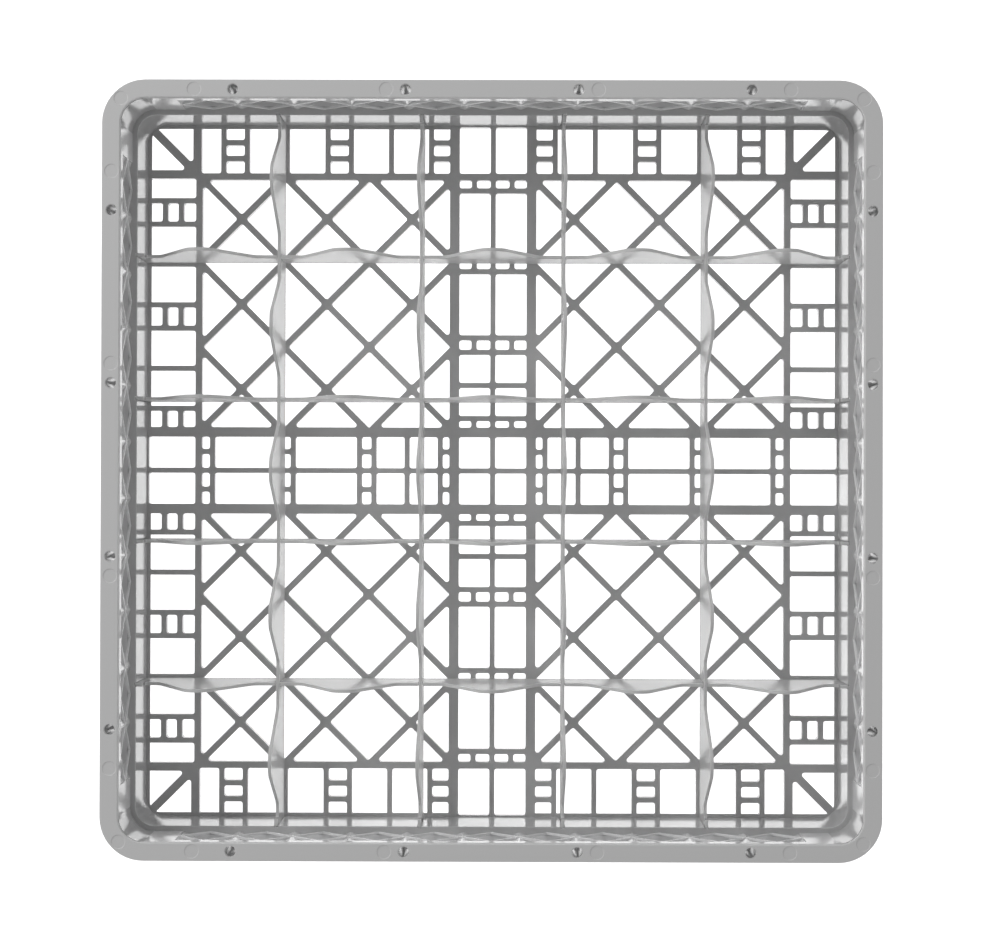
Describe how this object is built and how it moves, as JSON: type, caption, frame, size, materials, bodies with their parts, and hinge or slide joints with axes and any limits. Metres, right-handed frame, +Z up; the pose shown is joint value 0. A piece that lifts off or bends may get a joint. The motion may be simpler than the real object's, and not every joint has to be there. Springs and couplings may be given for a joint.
{
  "type": "dishwasher glass rack",
  "caption": "Square open-grid dishwasher rack for glasses: moulded basket with lattice walls and interlocking lift-out divider slats with humped top edges.",
  "frame": {"origin": "centre of the rack's footprint on the surface it stands on", "axes": "+Z up, X and Y along the sides; row dividers run along X and column dividers along Y"},
  "size_m": [0.5, 0.5, 0.104],
  "materials": {
    "basket_plastic": "fine moulded texture, mid grey polypropylene, dull sheen",
    "divider_plastic": "translucent unpigmented polypropylene, satin"
  },
  "bodies": {
    "basket": {"rim": "basket_plastic", "wall_front": "basket_plastic", "wall_right": "basket_plastic", "wall_back": "basket_plastic", "wall_left": "basket_plastic", "corner_front_left": "basket_plastic", "corner_front_right": "basket_plastic", "corner_back_right": "basket_plastic", "corner_back_left": "basket_plastic", "floor_grid": "basket_plastic"},
    "row_dividers": {"row_divider_1": "divider_plastic", "row_divider_2": "divider_plastic", "row_divider_3": "divider_plastic", "row_divider_4": "divider_plastic"},
    "column_divider_1": {"column_divider_1": "divider_plastic"},
    "column_divider_2": {"column_divider_2": "divider_plastic"},
    "column_divider_3": {"column_divider_3": "divider_plastic"},
    "column_divider_4": {"column_divider_4": "divider_plastic"}
  },
  "joints": [
    {"name": "row_dividers_lift", "type": "slide", "parent": "basket", "child": "row_dividers", "axis": [0, 0, 1], "range_m": [0, 0.045]},
    {"name": "column_divider_1_lift", "type": "slide", "parent": "row_dividers", "child": "column_divider_1", "axis": [0, 0, 1], "range_m": [0, 0.045]},
    {"name": "column_divider_2_lift", "type": "slide", "parent": "row_dividers", "child": "column_divider_2", "axis": [0, 0, 1], "range_m": [0, 0.045]},
    {"name": "column_divider_3_lift", "type": "slide", "parent": "row_dividers", "child": "column_divider_3", "axis": [0, 0, 1], "range_m": [0, 0.045]},
    {"name": "column_divider_4_lift", "type": "slide", "parent": "row_dividers", "child": "column_divider_4", "axis": [0, 0, 1], "range_m": [0, 0.045]}
  ]
}
